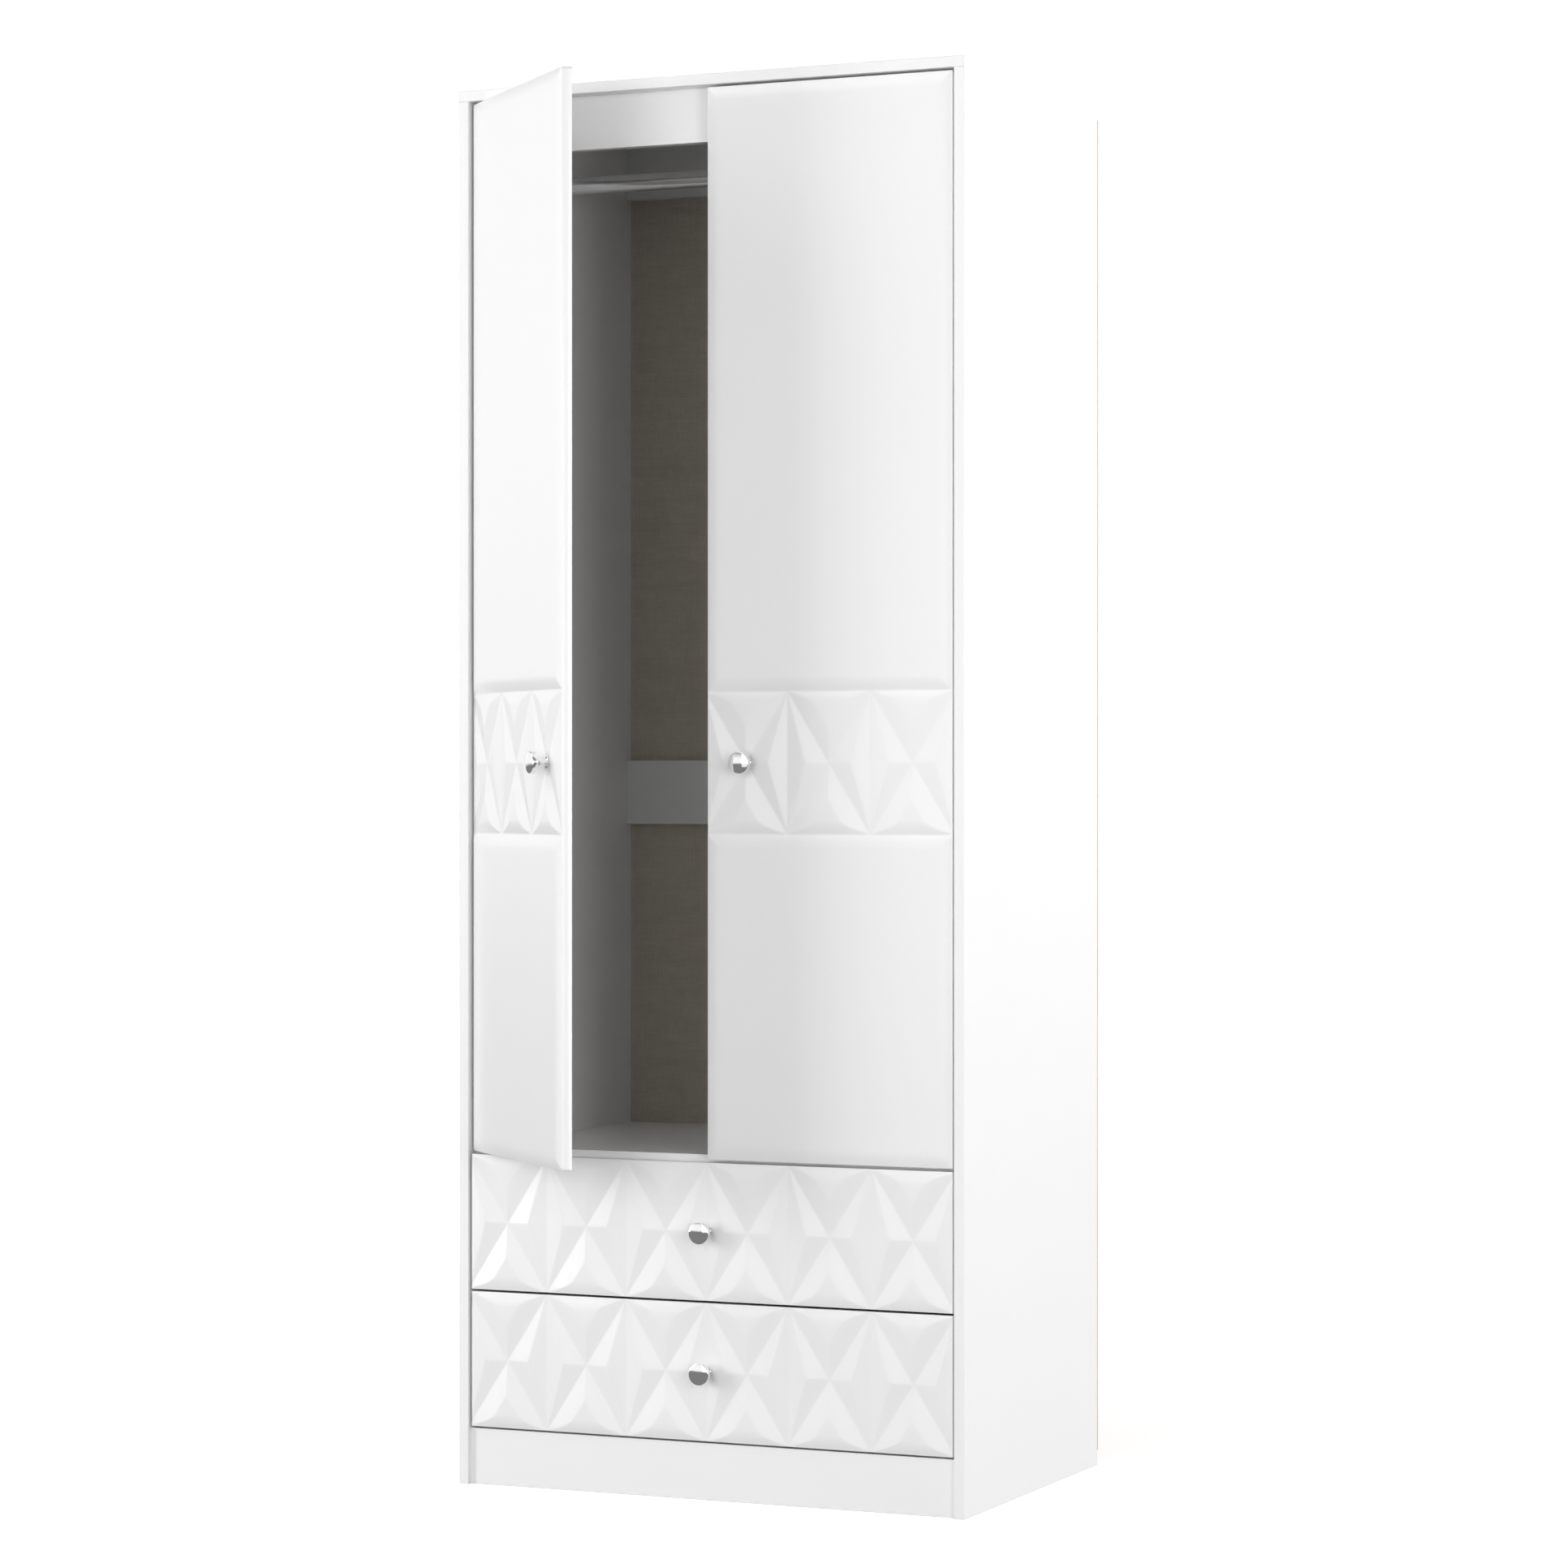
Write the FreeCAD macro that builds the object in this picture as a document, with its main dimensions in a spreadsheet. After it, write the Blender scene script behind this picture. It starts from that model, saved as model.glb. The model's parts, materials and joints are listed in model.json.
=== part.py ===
import FreeCAD, Part
import os
import re

import Sketcher
from FreeCAD import Placement, Rotation, Vector

# A white wardrobe: two hinged doors over two drawers, with a hanging rail behind the doors.
# Millimetres, +Z up. The fronts face -Y and X runs to the right as seen from the front.
# The origin is on the floor, on the centreline, in the plane of the closed fronts.

SIZES = {
    # carcass
    "overall_width": 768,
    "overall_height": 1970,
    "board": 15,
    "side_depth": 526,
    "back_thickness": 3,
    "back_bottom": 22,
    "top_overhang": 1,
    "edge_round": 1.2,
    "plinth_height": 79,
    "plinth_setback": 8,
    "inner_setback": 24.5,
    "divider_top": 476.5,
    "front_rail_height": 75,
    "back_rail_height": 77,
    "mid_rail_bottom": 930,
    "mid_rail_height": 96,
    # hanging rail
    "rail_height": 1866,
    "rail_depth": 265,
    "rail_radius": 12.5,
    "rail_wall": 1.2,
    "socket_radius": 14.5,
    "socket_length": 12,
    "socket_flange_radius": 21,
    "socket_flange": 2.5,
    "socket_clearance": 0.1,
    # fronts and their milled relief
    "front_thickness": 18,
    "front_gap": 3,
    "meeting_gap": 4,
    "door_bottom": 471,
    "door_height": 1481,
    "drawer_height": 191,
    "upper_drawer_bottom": 276,
    "lower_drawer_bottom": 82,
    "relief_depth": 4,
    "bevel_width": 20,
    "band_bottom": 450,
    "band_height": 196,
    "cell_pitch": 123.5,
    "peak_inset": 28,
    "ridge_share": 0.51,
    # knobs
    "knob_length": 28,
    "knob_radius": 15,
    "knob_rim_back": 18.5,
    "knob_rim_front": 26.5,
    "knob_base_radius": 8,
    "knob_base": 2,
    "knob_neck_radius": 5.5,
    "knob_cone_radius": 9,
    "knob_cone_start": 12,
    "knob_bore_radius": 2.05,
    "knob_bore_depth": 13,
    "seat_radius": 8.4,
    "knob_screw_radius": 2,
    "knob_hole_radius": 2.2,
    "knob_screw_reach": 12,
    "screw_head_radius": 4,
    "screw_head": 2.4,
    # hinges
    "pivot_inset": 10.5,
    "pivot_depth": 11,
    "door_open_angle": 43,
    "hinge_low": 109,
    "hinge_high": 1372,
    "cup_inset": 22.5,
    "cup_radius": 17.5,
    "cup_depth": 12.5,
    "cup_wall": 1,
    "cup_clearance": 0.1,
    "flange_radius": 19.5,
    "flange_width": 18,
    "flange_length": 64,
    "flange_thickness": 1.5,
    "pin_radius": 1.5,
    "pin_length": 21.8,
    "pin_clearance": 0.05,
    "eye_radius": 3,
    "arm_height": 12,
    "arm_bar": 4,
    "neck_inner_radius": 14.5,
    "neck_outer_radius": 17,
    "neck_start": -6,
    "neck_sweep": 131,
    "arm_block_depth": 24,
    "arm_block_length": 42,
    "arm_block_width": 6,
    "plate_thickness": 3,
    "plate_depth": 29,
    "plate_length": 43,
    "plate_height": 16,
    "plate_wing_length": 18,
    "plate_wing_height": 46,
    "plate_screw_spacing": 32,
    # drawer boxes
    "box_board": 12,
    "box_height": 130,
    "box_length": 450,
    "box_lift": 30,
    "base_thickness": 3,
    "base_lift": 10,
    "base_rebate": 6,
    # roller runners, measured from the inner face of the side panel and the bottom of the channel
    "runner_space": 12.5,
    "steel": 1.2,
    "channel_front": 22,
    "channel_length": 450,
    "channel_height": 30,
    "channel_width": 10,
    "slide_front": 19,
    "slide_length": 448,
    "slide_web_bottom": 8,
    "slide_top": 27.2,
    "slide_flange": 8.8,
    "slide_foot": 10,
    "roller_radius": 11,
    "roller_width": 6,
    "roller_inset": 3,
    "roller_groove": 1,
    "front_roller_depth": 36,
    "front_roller_height": 14.7,
    "rear_roller_depth": 452,
    "rear_roller_height": 12.5,
    "axle_radius": 2,
    "axle_clearance": 0.05,
    "axle_length": 8.7,
    # wood screws that hold the hinge plates, the rail sockets and the channels
    "wood_screw_radius": 1.6,
    "wood_screw_length": 11,
    "wood_head_radius": 3.2,
    "wood_head": 1.6,
    "wood_hole_radius": 1.9,
}

ALONG = {
    "x": Rotation(Vector(0, 1, 0), 90),
    "y": Rotation(Vector(1, 0, 0), -90),
    "z": Rotation(),
}
UP = Vector(0, 0, 1)
BACKWARD = Vector(0, 1, 0)
RIGHTWARD = Vector(1, 0, 0)

doc = FreeCAD.newDocument("wardrobe")
sheet = doc.addObject("Spreadsheet::Sheet", "Sizes")
for row, (alias, amount) in enumerate(SIZES.items(), start=1):
    sheet.set(f"A{row}", alias)
    sheet.set(f"B{row}", str(amount))
    sheet.setAlias(f"B{row}", alias)
doc.recompute()

nodes = []


def formula(text):
    """The expression, with each size's name written as a cell of the sheet."""
    return re.sub(r"[a-z_]+", lambda word: f"Sizes.{word[0]}" if word[0] in SIZES else word[0], str(text))


def number(text):
    """The expression's present value."""
    return float(sheet.evalExpression(formula(text)))


def size(name):
    return float(sheet.get(name))


def bind(item, values):
    for prop, text in values.items():
        item.setExpression(prop, formula(text))


def place(item, corner):
    bind(item, {f"Placement.Base.{axis}": text for axis, text in zip("xyz", corner)})


def node(item, label):
    """Marks an object as one of the sub-parts that are kept, under its label."""
    item.Label = label
    nodes.append(item)
    return item


# Primitives and booleans, all bound to the sheet


def box(name, extent, corner):
    item = doc.addObject("Part::Box", name)
    bind(item, dict(zip(("Length", "Width", "Height"), extent)))
    place(item, corner)
    return item


def cylinder(name, radius, length, base, axis):
    item = doc.addObject("Part::Cylinder", name)
    bind(item, {"Radius": radius, "Height": length})
    item.Placement = Placement(Vector(), ALONG[axis])
    place(item, base)
    return item


def fuse(name, items):
    item = doc.addObject("Part::MultiFuse", name)
    item.Shapes = items
    item.Refine = True
    return item


def group(name, items):
    item = doc.addObject("Part::Compound", name)
    item.Links = items
    return item


def cut(name, base, tool):
    item = doc.addObject("Part::Cut", name)
    item.Base = base
    item.Tool = tool
    return item


# Sketched bodies


def outline(body, name, role, corners):
    """A closed sketch on one of the body's origin planes.

    Each corner is two expressions, and a third gives the radius of an arc that runs counter-clockwise
    to the next corner.
    """
    sketch = body.newObject("Sketcher::SketchObject", name)
    plane = next(item for item in body.Origin.OriginFeatures if item.Role == role)
    sketch.AttachmentSupport = (plane, [""])
    sketch.MapMode = "FlatFace"
    points = [Vector(number(corner[0]), number(corner[1]), 0) for corner in corners]
    for index, corner in enumerate(corners):
        start = points[index]
        end = points[(index + 1) % len(points)]
        if len(corner) == 2:
            sketch.addGeometry(Part.LineSegment(start, end))
            continue
        radius = number(corner[2])
        half = (end - start) * 0.5
        rise = (radius**2 - half.Length**2) ** 0.5
        centre = start + half + UP.cross(half).normalize() * rise
        circle = Part.Circle(centre, UP, radius)
        sketch.addGeometry(Part.ArcOfCircle(circle, circle.parameter(start), circle.parameter(end)))
    for index in range(len(corners)):
        after = (index + 1) % len(corners)
        sketch.addConstraint(Sketcher.Constraint("Coincident", index, 2, after, 1))
    for index, corner in enumerate(corners):
        for kind, text in zip(("DistanceX", "DistanceY"), corner):
            rule = Sketcher.Constraint(kind, -1, 1, index, 1, number(text))
            sketch.setExpression(f"Constraints[{sketch.addConstraint(rule)}]", formula(text))
        if len(corner) == 3:
            rule = Sketcher.Constraint("Radius", index, number(corner[2]))
            sketch.setExpression(f"Constraints[{sketch.addConstraint(rule)}]", formula(corner[2]))
    return sketch


def padded(name, role, corners, length):
    """A body padded from one closed outline."""
    body = doc.addObject("PartDesign::Body", name)
    sketch = outline(body, f"{name}_outline", role, corners)
    pad = body.newObject("PartDesign::Pad", f"{name}_pad")
    pad.Profile = sketch
    bind(pad, {"Length": length})
    doc.recompute()
    return body


def revolved(name, corners):
    """A body turned about its own Y axis from an outline of (radius, height along Y) corners."""
    body = doc.addObject("PartDesign::Body", name)
    sketch = outline(body, f"{name}_outline", "XY_Plane", corners)
    turn = body.newObject("PartDesign::Revolution", f"{name}_turn")
    turn.Profile = sketch
    turn.ReferenceAxis = (sketch, ["V_Axis"])
    turn.Angle = 360
    doc.recompute()
    return body


def round_edges(body, chosen):
    """Rounds the straight edges that the test picks, with the board's edging radius."""
    base = body.Tip
    names = [f"Edge{index}" for index, edge in enumerate(base.Shape.Edges, start=1) if chosen(edge)]
    rounding = body.newObject("PartDesign::Fillet", f"{body.Name}_rounding")
    rounding.Base = (base, names)
    bind(rounding, {"Radius": "edge_round"})
    doc.recompute()


# Carcass


def side_panel(label, inner_sign):
    """One side, standing on the floor, its front edge rounded by the edging."""
    outer = "-overall_width / 2" if inner_sign > 0 else "overall_width / 2 - board"
    corners = [("0", "0"), ("board", "0"), ("board", "side_depth"), ("0", "side_depth")]
    body = padded(label, "XY_Plane", corners, "overall_height - board")
    round_edges(body, lambda edge: edge.BoundBox.YMax < 1 and edge.BoundBox.ZLength > 100)
    place(body, (outer, 0, 0))
    node(body, label)


def top_panel():
    corners = [
        ("-overall_width / 2", "-top_overhang"),
        ("overall_width / 2", "-top_overhang"),
        ("overall_width / 2", "side_depth + back_thickness"),
        ("-overall_width / 2", "side_depth + back_thickness"),
    ]
    body = padded("top_panel", "XY_Plane", corners, "board")
    round_edges(body, lambda edge: edge.BoundBox.YMax < 0 and edge.BoundBox.XLength > 100)
    place(body, (0, 0, "overall_height - board"))
    node(body, "top_panel")


INNER_WIDTH = "(overall_width - 2 * board)"
INNER_LEFT = "(board - overall_width / 2)"


def crossboard(label, depth, height, front, bottom):
    """A board that spans from one side panel to the other."""
    node(box(label, (INNER_WIDTH, depth, height), (INNER_LEFT, front, bottom)), label)


def carcass():
    side_panel("side_panel_left", 1)
    side_panel("side_panel_right", -1)
    top_panel()
    crossboard("plinth", "board", "plinth_height", "plinth_setback", "0")
    inner_start = "(plinth_setback + board)"
    crossboard("base_panel", f"side_depth - {inner_start}", "board", inner_start, "plinth_height - board")
    crossboard(
        "divider_shelf", "side_depth - inner_setback", "board", "inner_setback", "divider_top - board"
    )
    under_top = "overall_height - board"
    crossboard(
        "front_top_rail",
        "board",
        "front_rail_height",
        "inner_setback",
        f"{under_top} - front_rail_height",
    )
    back_face = "side_depth - board"
    crossboard("back_top_rail", "board", "back_rail_height", back_face, f"{under_top} - back_rail_height")
    crossboard("back_mid_rail", "board", "mid_rail_height", back_face, "mid_rail_bottom")
    extent = ("overall_width", "back_thickness", f"{under_top} - back_bottom")
    node(box("back_panel", extent, ("-overall_width / 2", "side_depth", "back_bottom")), "back_panel")


def hanging_rail():
    """A steel tube held at each end by a flanged socket on the side panel."""
    tube_length = f"{INNER_WIDTH} - 2 * socket_flange"
    start = (f"{INNER_LEFT} + socket_flange", "rail_depth", "rail_height")
    skin = cylinder("rail_skin", "rail_radius", tube_length, start, "x")
    hollow = cylinder("rail_hollow", "rail_radius - rail_wall", tube_length, start, "x")
    node(cut("hanging_rail", skin, hollow), "hanging_rail")
    for side, sign in (("left", 1), ("right", -1)):
        wall = INNER_LEFT if sign > 0 else f"-{INNER_LEFT}"
        label = f"rail_socket_{side}"

        def disc(name, radius, start, end):
            """A disc between two distances from the side panel's inner face."""
            low = f"{wall} + {start}" if sign > 0 else f"{wall} - ({end})"
            base = (low, "rail_depth", "rail_height")
            return cylinder(f"{label}_{name}", radius, f"{end} - ({start})", base, "x")

        flange = disc("flange", "socket_flange_radius", "0", "socket_flange")
        ring = disc("ring", "socket_radius", "0", "socket_length")
        hollows = [disc("bore", "rail_radius + socket_clearance", "socket_flange", "socket_length + 1")]
        for name, offset in (("low", -1), ("high", 1)):
            height = f"rail_height + {offset} * (socket_radius + socket_flange_radius) / 2"
            left = wall if sign > 0 else f"{wall} - socket_flange"
            base = (left, "rail_depth", height)
            hollows.append(
                cylinder(f"{label}_hole_{name}", "wood_hole_radius", "socket_flange", base, "x")
            )
            wood_screw(f"{label}_screw_{name}", -sign, "socket_flange", "rail_depth", height)
        blank = fuse(f"{label}_blank", [flange, ring])
        node(cut(label, blank, fuse(f"{label}_hollows", hollows)), label)


# Fronts: a bevel runs along every tile edge, and the patterned tiles carry milled facets


def bevelled_block(marks, spread, along, across):
    """A board whose front falls in a bevel to each mark, extruded across the other way."""
    depth = size("relief_depth")
    width = size("bevel_width")
    thickness = size("front_thickness")
    radius = (width**2 + depth**2) / (2 * depth)

    def point(run, drop):
        return along * run + BACKWARD * drop

    def fall(run):
        """How deep the bevel is at this distance from where it leaves the face."""
        return radius - (radius**2 - run**2) ** 0.5

    edges = []
    for low, high in zip(marks, marks[1:]):
        rise_middle = point(low + width / 2, fall(width / 2))
        fall_middle = point(high - width / 2, fall(width / 2))
        edges.append(Part.Arc(point(low, depth), rise_middle, point(low + width, 0)).toShape())
        edges.append(Part.makeLine(point(low + width, 0), point(high - width, 0)))
        edges.append(Part.Arc(point(high - width, 0), fall_middle, point(high, depth)).toShape())
    far_front, far_back = point(marks[-1], depth), point(marks[-1], thickness)
    near_back, near_front = point(marks[0], thickness), point(marks[0], depth)
    edges.append(Part.makeLine(far_front, far_back))
    edges.append(Part.makeLine(far_back, near_back))
    edges.append(Part.makeLine(near_back, near_front))
    face = Part.Face(Part.Wire(edges))
    face.translate(across * spread[0])
    return face.extrude(across * (spread[1] - spread[0]))


def facetted_block(cells, bottom, top):
    """A row of cells whose fronts are folded like paper.

    Each cell has its deepest lines along its two diagonals and its upright edges. A level peak stands
    near each upright edge, and a ridge climbs from the centre to the top and to the bottom.
    """
    depth = size("relief_depth")
    thickness = size("front_thickness")
    pitch = size("cell_pitch")
    middle = (bottom + top) / 2
    crest = depth - depth / size("ridge_share")
    faces = []
    first = -cells * pitch / 2

    def face(*points):
        faces.append(Part.Face(Part.makePolygon([Vector(*p) for p in points + points[:1]])))

    for index in range(cells):
        left = first + index * pitch
        right = left + pitch
        centre = (left + pitch / 2, depth, middle)
        for side, inward in ((left, 1), (right, -1)):
            peak = (side + inward * size("peak_inset"), 0, middle)
            face((side, depth, bottom), (side, depth, top), peak)
            for level in (bottom, top):
                corner = (side, depth, level)
                face(corner, peak, centre)
                face(corner, centre, (centre[0], crest, level))
    last = first + cells * pitch
    for level in (bottom, top):
        zigzag = [(first, depth, level)]
        for index in range(cells):
            left = first + index * pitch
            zigzag.append((left + pitch / 2, crest, level))
            zigzag.append((left + pitch, depth, level))
        face(*zigzag, (last, thickness, level), (first, thickness, level))
    for side in (first, last):
        face((side, depth, bottom), (side, depth, top), (side, thickness, top), (side, thickness, bottom))
    face(
        (first, thickness, bottom),
        (last, thickness, bottom),
        (last, thickness, top),
        (first, thickness, top),
    )
    shell = Part.makeShell(faces)
    shell.sewShape()
    solid = Part.Solid(shell)
    if solid.Volume < 0:
        solid.reverse()
    return solid


def milled_front(width, marks, patterned, cells):
    """The front board: marks are the tile edges up its height, patterned the tile with facets."""
    thickness = size("front_thickness")
    height = marks[-1]
    upright = bevelled_block(marks, (-width / 2, width / 2), UP, RIGHTWARD)
    level = bevelled_block([-width / 2, width / 2], (0, height), RIGHTWARD, UP)
    bottom, top = marks[patterned], marks[patterned + 1]
    facets = facetted_block(cells, bottom, top)
    whole = upright.common(level)
    around = [
        Part.makeBox(width, thickness, high - low, Vector(-width / 2, 0, low))
        for low, high in ((0, bottom), (top, height))
        if high > low
    ]
    patterned_tile = whole.common(facets)
    plain_tiles = [whole.common(block) for block in around]
    if not plain_tiles:
        return patterned_tile
    return patterned_tile.multiFuse(plain_tiles).removeSplitter()


def rod(radius, start, direction, length):
    return Part.makeCylinder(radius, length, start, direction)


def seat_and_hole(front, x, z):
    """Cuts the flat seat under a knob and the hole for its screw."""
    seat = rod(size("seat_radius"), Vector(x, 0, z), BACKWARD * -1, size("relief_depth"))
    seat.translate(BACKWARD * size("relief_depth"))
    hole = rod(size("knob_hole_radius"), Vector(x, 0, z), BACKWARD, size("front_thickness"))
    return front.cut([seat, hole])


def solid_node(label, shape, placement):
    item = doc.addObject("Part::Feature", label)
    item.Shape = shape
    item.Placement = placement
    return node(item, label)


def knob(label, x, z, placement):
    """A turned, chrome-plated knob: base, neck, cone and a thick head with a shallow dome."""
    rise = "(knob_length - knob_rim_front)"
    dome_radius = f"(knob_radius^2 + {rise}^2) / (2 * {rise})"
    corners = [
        ("knob_bore_radius", "0"),
        ("knob_base_radius", "0"),
        ("knob_base_radius", "knob_base"),
        ("knob_neck_radius", "knob_base + 1"),
        ("knob_neck_radius", "knob_cone_start"),
        ("knob_cone_radius", "knob_rim_back - 0.5"),
        ("knob_radius", "knob_rim_back"),
        ("knob_radius", "knob_rim_front", dome_radius),
        ("0", "knob_length"),
        ("0", "knob_bore_depth"),
        ("knob_bore_radius", "knob_bore_depth"),
    ]
    body = revolved(label, corners)
    seat = Vector(x, size("relief_depth"), z)
    body.Placement = placement.multiply(Placement(seat, Rotation(UP, 180)))
    node(body, label)


def knob_screw(label, x, z, placement):
    """The screw that comes through the front from behind and holds the knob."""
    tip = "relief_depth - knob_screw_reach"
    base = (x, tip, z)
    shank = cylinder(f"{label}_shank", "knob_screw_radius", f"front_thickness - ({tip})", base, "y")
    head_base = (x, "front_thickness", z)
    head = cylinder(f"{label}_head", "screw_head_radius", "screw_head", head_base, "y")
    screw = fuse(label, [shank, head])
    screw.Placement = placement
    node(screw, label)


def door(side, sign, swing):
    """One door with its knob and hinge cups; sign is -1 on the left and 1 on the right."""
    width = number(f"({INNER_WIDTH} - 2 * front_gap - meeting_gap) / 2")
    middle = sign * number(f"(meeting_gap + {width}) / 2")
    bottom = size("door_bottom")
    band = size("band_bottom")
    marks = [0, band, band + size("band_height"), size("door_height")]
    front = milled_front(width, marks, 1, 3)
    knob_x = -sign * size("cell_pitch")
    knob_z = band + size("band_height") / 2
    front = seat_and_hole(front, knob_x, knob_z)
    cup_x = sign * (width / 2 - size("cup_inset"))
    inside = Vector(0, size("front_thickness"), 0)
    levels = hinge_levels()
    for level in levels:
        start = inside + Vector(cup_x, 0, level)
        front = front.cut(rod(size("cup_radius"), start, BACKWARD * -1, size("cup_depth")))
    label = f"door_{side}"
    home = swing.multiply(Placement(Vector(middle, 0, bottom), Rotation()))
    solid_node(f"{label}_panel", front, home)
    knob(f"{label}_knob", middle + knob_x, bottom + knob_z, swing)
    knob_screw(f"{label}_knob_screw", middle + knob_x, bottom + knob_z, swing)
    for name, level in zip(("lower", "middle", "upper"), levels):
        hinge_cup(f"{label}_hinge_cup_{name}", sign, middle + cup_x, bottom + level, swing)


# Hinges: a cup in the door, an arm that hooks round the door's edge, and a plate on the side panel


def hinge_levels():
    low, high = size("hinge_low"), size("hinge_high")
    return low, (low + high) / 2, high


def pivot_x(sign):
    return f"{sign} * ({INNER_WIDTH} / 2 - front_gap - pivot_inset)"


def hinge_cup(label, sign, x, z, swing):
    bottom = "front_thickness - cup_depth"
    shell = cylinder(
        f"{label}_shell", "cup_radius - cup_clearance", "cup_depth", (x, bottom, z), "y"
    )
    rim = cylinder(f"{label}_rim", "flange_radius", "flange_thickness", (x, "front_thickness", z), "y")
    ears = box(
        f"{label}_ears",
        ("flange_width", "flange_thickness", "flange_length"),
        (f"{x} - flange_width / 2", "front_thickness", f"{z} - flange_length / 2"),
    )
    hollow = cylinder(
        f"{label}_hollow",
        "cup_radius - cup_clearance - cup_wall",
        "cup_depth + flange_thickness",
        (x, f"{bottom} + cup_wall", z),
        "y",
    )
    blank = cut(f"{label}_blank", fuse(f"{label}_outside", [shell, rim, ears]), hollow)
    pin_base = (pivot_x(sign), "pivot_depth", f"{z} - pin_length / 2")
    pin = cylinder(f"{label}_pin", "pin_radius", "pin_length", pin_base, "z")
    cup = fuse(label, [blank, pin])
    cup.Placement = swing
    node(cup, label)


def hinge_arm(label, sign, level):
    """The arm turns on the pin, hooks round the door's edge and ends on the plate."""
    x = pivot_x(sign)
    low = f"{level} - arm_height / 2"
    centre = (x, "pivot_depth", low)
    eye = cylinder(f"{label}_eye", "eye_radius", "arm_height", centre, "z")
    bar_left = x if sign < 0 else f"{x} - neck_outer_radius + 0.5"
    bar = box(
        f"{label}_bar",
        ("neck_outer_radius - 0.5", "arm_bar", "arm_height"),
        (bar_left, "pivot_depth - arm_bar / 2", low),
    )
    outer = cylinder(f"{label}_outer", "neck_outer_radius", "arm_height", centre, "z")
    inner = cylinder(f"{label}_inner", "neck_inner_radius", "arm_height", centre, "z")
    start = size("neck_start") if sign < 0 else 180 - size("neck_start") - size("neck_sweep")
    for item in (outer, inner):
        bind(item, {"Angle": "neck_sweep"})
        item.Placement = Placement(item.Placement.Base, Rotation(UP, start))
        place(item, centre)
    neck = cut(f"{label}_neck", outer, inner)
    wall = f"({INNER_WIDTH} / 2 - plate_thickness)"
    block_left = f"-{wall}" if sign < 0 else f"{wall} - arm_block_width"
    block = box(
        f"{label}_block",
        ("arm_block_width", "arm_block_length", "arm_height"),
        (block_left, "arm_block_depth", low),
    )
    blank = fuse(f"{label}_blank", [eye, bar, neck, block])
    bore = cylinder(f"{label}_bore", "pin_radius + pin_clearance", "arm_height", centre, "z")
    node(cut(label, blank, bore), label)


def hinge_plate(label, sign, level):
    """A cross-shaped plate screwed to the side panel."""
    left = f"-{INNER_WIDTH} / 2" if sign < 0 else f"{INNER_WIDTH} / 2 - plate_thickness"
    spine = box(
        f"{label}_spine",
        ("plate_thickness", "plate_length", "plate_height"),
        (left, "plate_depth", f"{level} - plate_height / 2"),
    )
    middle = "(plate_depth + plate_length / 2)"
    wings = box(
        f"{label}_wings",
        ("plate_thickness", "plate_wing_length", "plate_wing_height"),
        (left, f"{middle} - plate_wing_length / 2", f"{level} - plate_wing_height / 2"),
    )
    holes = []
    for name, offset in (("low", -1), ("high", 1)):
        base = (left, middle, f"{level} + {offset} * plate_screw_spacing / 2")
        holes.append(cylinder(f"{label}_hole_{name}", "wood_hole_radius", "plate_thickness", base, "x"))
        wood_screw(f"{label}_screw_{name}", sign, "plate_thickness", middle, base[2])
    return cut(label, fuse(f"{label}_cross", [spine, wings]), fuse(f"{label}_holes", holes))


def hinges():
    for side, sign in (("left", -1), ("right", 1)):
        plates = []
        for name, level in zip(("lower", "middle", "upper"), hinge_levels()):
            height = f"door_bottom + {level}"
            hinge_arm(f"hinge_arm_{side}_{name}", sign, height)
            plates.append(hinge_plate(f"hinge_plate_{side}_{name}", sign, height))
        label = f"hinge_plates_{side}"
        node(group(label, plates), label)


wood_screws = []


def wood_screw(name, sign, stand_off, y, z):
    """A screw driven sideways into a side panel; its head rests at the stand-off from the panel."""
    head_left = f"-{INNER_WIDTH} / 2 + {stand_off}"
    shank_left = f"{head_left} - wood_screw_length"
    if sign > 0:
        head_left = f"{INNER_WIDTH} / 2 - {stand_off} - wood_head"
        shank_left = f"{head_left} + wood_head"
    head = cylinder(f"{name}_head", "wood_head_radius", "wood_head", (head_left, y, z), "x")
    shank = cylinder(f"{name}_shank", "wood_screw_radius", "wood_screw_length", (shank_left, y, z), "x")
    wood_screws.append(fuse(name, [head, shank]))


# Drawers on roller runners


def mirrored(name, source):
    item = doc.addObject("Part::Mirroring", name)
    item.Source = source
    item.Normal = RIGHTWARD
    return item


def channel(label, bottom):
    """The cabinet's half of the left runner: a C-shaped channel with the front roller's axle."""
    wall = INNER_LEFT
    body = padded(
        f"{label}_steel",
        "XZ_Plane",
        [
            ("0", "0"),
            ("channel_width", "0"),
            ("channel_width", "steel"),
            ("steel", "steel"),
            ("steel", "channel_height - steel"),
            ("channel_width", "channel_height - steel"),
            ("channel_width", "channel_height"),
            ("0", "channel_height"),
        ],
        "channel_length",
    )
    place(body, (wall, "channel_front + channel_length", bottom))
    axle = cylinder(
        f"{label}_axle",
        "axle_radius",
        "axle_length + 0.1",
        (f"{wall} + steel - 0.1", "front_roller_depth", f"{bottom} + front_roller_height"),
        "x",
    )
    return fuse(label, [body, axle])


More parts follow.
